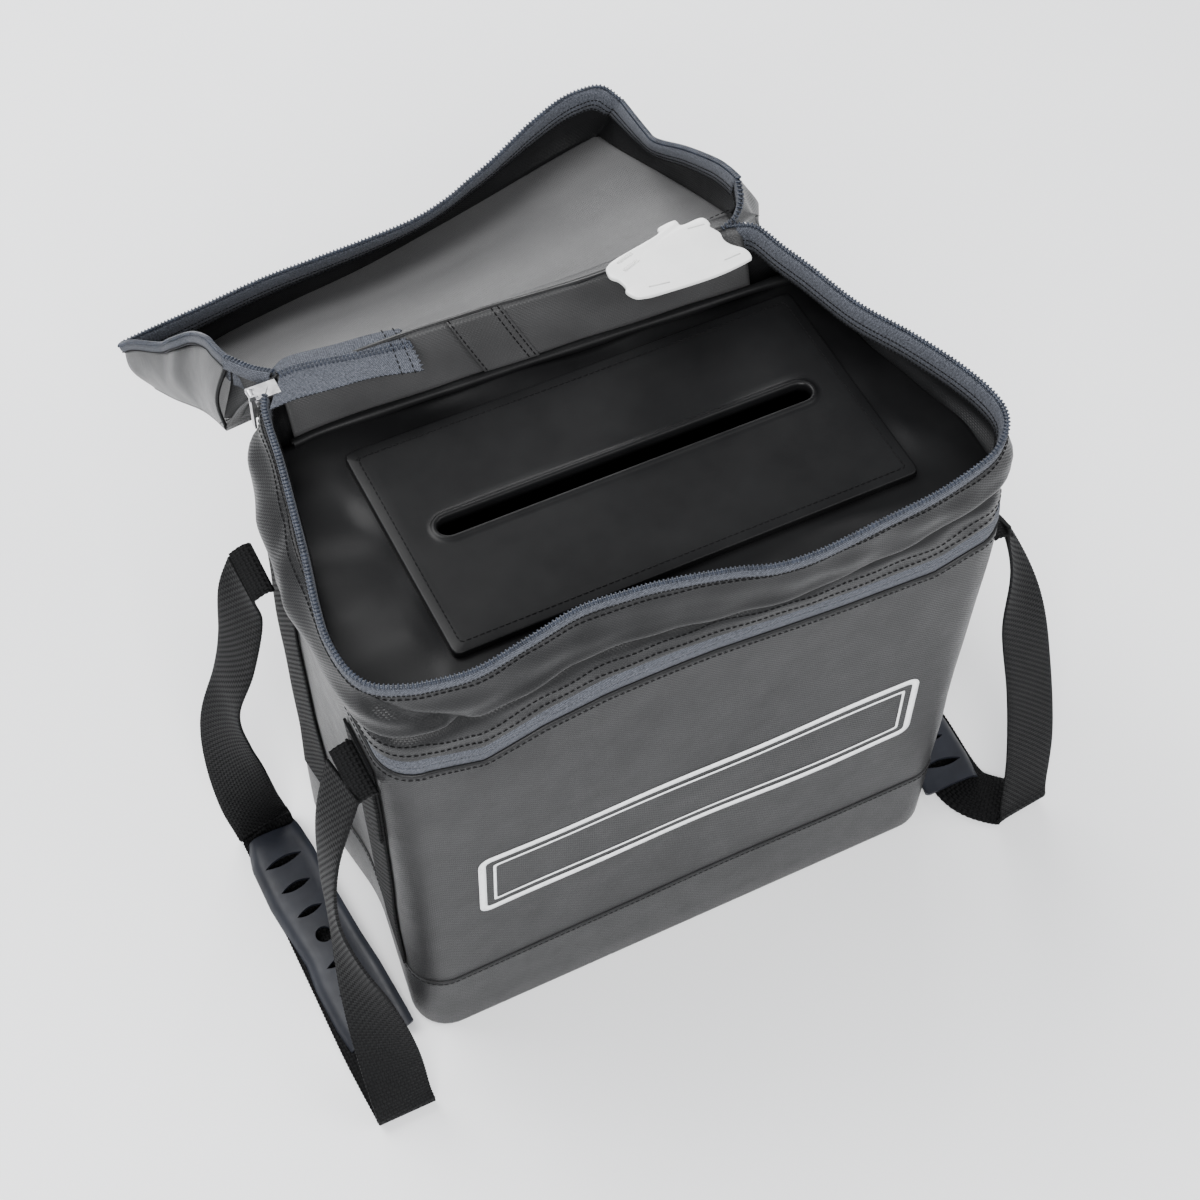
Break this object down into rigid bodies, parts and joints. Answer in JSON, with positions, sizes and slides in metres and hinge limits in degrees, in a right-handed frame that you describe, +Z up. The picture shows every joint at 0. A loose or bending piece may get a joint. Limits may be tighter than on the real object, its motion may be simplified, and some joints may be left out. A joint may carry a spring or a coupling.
{
  "type": "ballot box",
  "caption": "Soft-sided ballot bag with a zipped slotted collar, folded-back zipped lid, seal holder and two carrying handles.",
  "frame": {"origin": "centre of the bag's footprint on the floor, under its flat base", "axes": "+Z up, +X to the right along the long front, -Y towards the front; the folded lid lies behind at +Y"},
  "size_m": [0.5504, 0.5188, 0.4333],
  "materials": {
    "coated_fabric": "fine embossed coating, soft sheen",
    "smooth_cover": "smooth coated, soft sheen",
    "stiff_board": "plain board",
    "webbing": "coarse woven",
    "zip_tape": "finely woven",
    "zip_coil": "satin coil",
    "slider_metal": "worn plated",
    "seal_plastic": "glossy white",
    "grip_rubber": "matt moulded rubber"
  },
  "bodies": {
    "base": {"base_boot": "coated_fabric", "base_board": "stiff_board", "front_panel": "coated_fabric", "rear_panel": "coated_fabric", "left_panel": "coated_fabric", "right_panel": "coated_fabric", "rear_hinge_band": "coated_fabric", "left_front_strip": "webbing", "right_front_strip": "webbing", "left_rear_strip": "webbing", "right_rear_strip": "webbing", "left_front_strap_end": "webbing", "right_front_strap_end": "webbing", "lower_zip_tape": "zip_tape", "lower_zip_coil": "zip_coil", "lower_slider": "slider_metal"},
    "collar": {"collar_lower_tape": "zip_tape", "collar_lower_coil": "zip_coil", "collar_band": "coated_fabric", "collar_rear": "coated_fabric", "rim_zip_tape": "zip_tape", "rim_zip_coil": "zip_coil", "slot_sheet": "coated_fabric", "slot_board": "stiff_board", "slot_cover": "smooth_cover", "inner_strap": "webbing", "zip_tail": "zip_tape", "zip_slider": "slider_metal", "seal_holder_base": "seal_plastic", "seal_holder_cover": "seal_plastic"},
    "rear_flap": {"rear_flap": "coated_fabric"},
    "lid": {"lid_panel": "coated_fabric", "lid_wall": "coated_fabric", "lid_zip_tape": "zip_tape", "lid_zip_coil": "zip_coil"},
    "left_tabs": {"left_front_tab": "webbing", "left_rear_tab": "webbing"},
    "right_tabs": {"right_front_tab": "webbing", "right_rear_tab": "webbing"},
    "left_handle": {"left_handle_strap": "webbing", "left_handle_grip": "grip_rubber"},
    "right_handle": {"right_handle_strap": "webbing", "right_handle_grip": "grip_rubber"},
    "top_pull": {"zip_pull": "slider_metal"},
    "lower_pull": {"lower_pull": "slider_metal"}
  },
  "joints": [
    {"name": "collar_hinge", "type": "hinge", "parent": "base", "child": "collar", "pos_m": [0, 0.11, 0.336], "axis": [-1, 0, 0], "range_deg": [0, 50]},
    {"name": "flap_fold", "type": "hinge", "parent": "collar", "child": "rear_flap", "pos_m": [-0.014, 0.1177, 0.418], "axis": [0.999, 0, 0.0436], "range_deg": [0, 143]},
    {"name": "lid_fold", "type": "hinge", "parent": "rear_flap", "child": "lid", "pos_m": [-0.01013, 0.1474, 0.37872], "axis": [0.9966, -0.0263, 0.0784], "range_deg": [0, 70.51]},
    {"name": "left_tab_fold", "type": "hinge", "parent": "base", "child": "left_tabs", "pos_m": [-0.2097, 0, 0.306], "axis": [0, 1, 0], "range_deg": [0, 90]},
    {"name": "left_handle_fold", "type": "hinge", "parent": "left_tabs", "child": "left_handle", "pos_m": [-0.2217, 0, 0.302], "axis": [0, 1, 0], "range_deg": [0, 50]},
    {"name": "right_tab_fold", "type": "hinge", "parent": "base", "child": "right_tabs", "pos_m": [0.20776, 0, 0.306], "axis": [0, -1, 0], "range_deg": [0, 90]},
    {"name": "right_handle_fold", "type": "hinge", "parent": "right_tabs", "child": "right_handle", "pos_m": [0.21976, 0, 0.302], "axis": [0, -1, 0], "range_deg": [0, 50]},
    {"name": "top_pull_swing", "type": "hinge", "parent": "collar", "child": "top_pull", "pos_m": [-0.18926, 0.117, 0.4196], "axis": [0, 1, 0], "range_deg": [0, 90]},
    {"name": "lower_pull_swing", "type": "hinge", "parent": "base", "child": "lower_pull", "pos_m": [0.20541, 0.04875, 0.336], "axis": [0, 0, 1], "range_deg": [0, 90]}
  ],
  "couplings": [
    {"joint": "lid_fold", "follows": "flap_fold", "ratio": 0.49301}
  ]
}
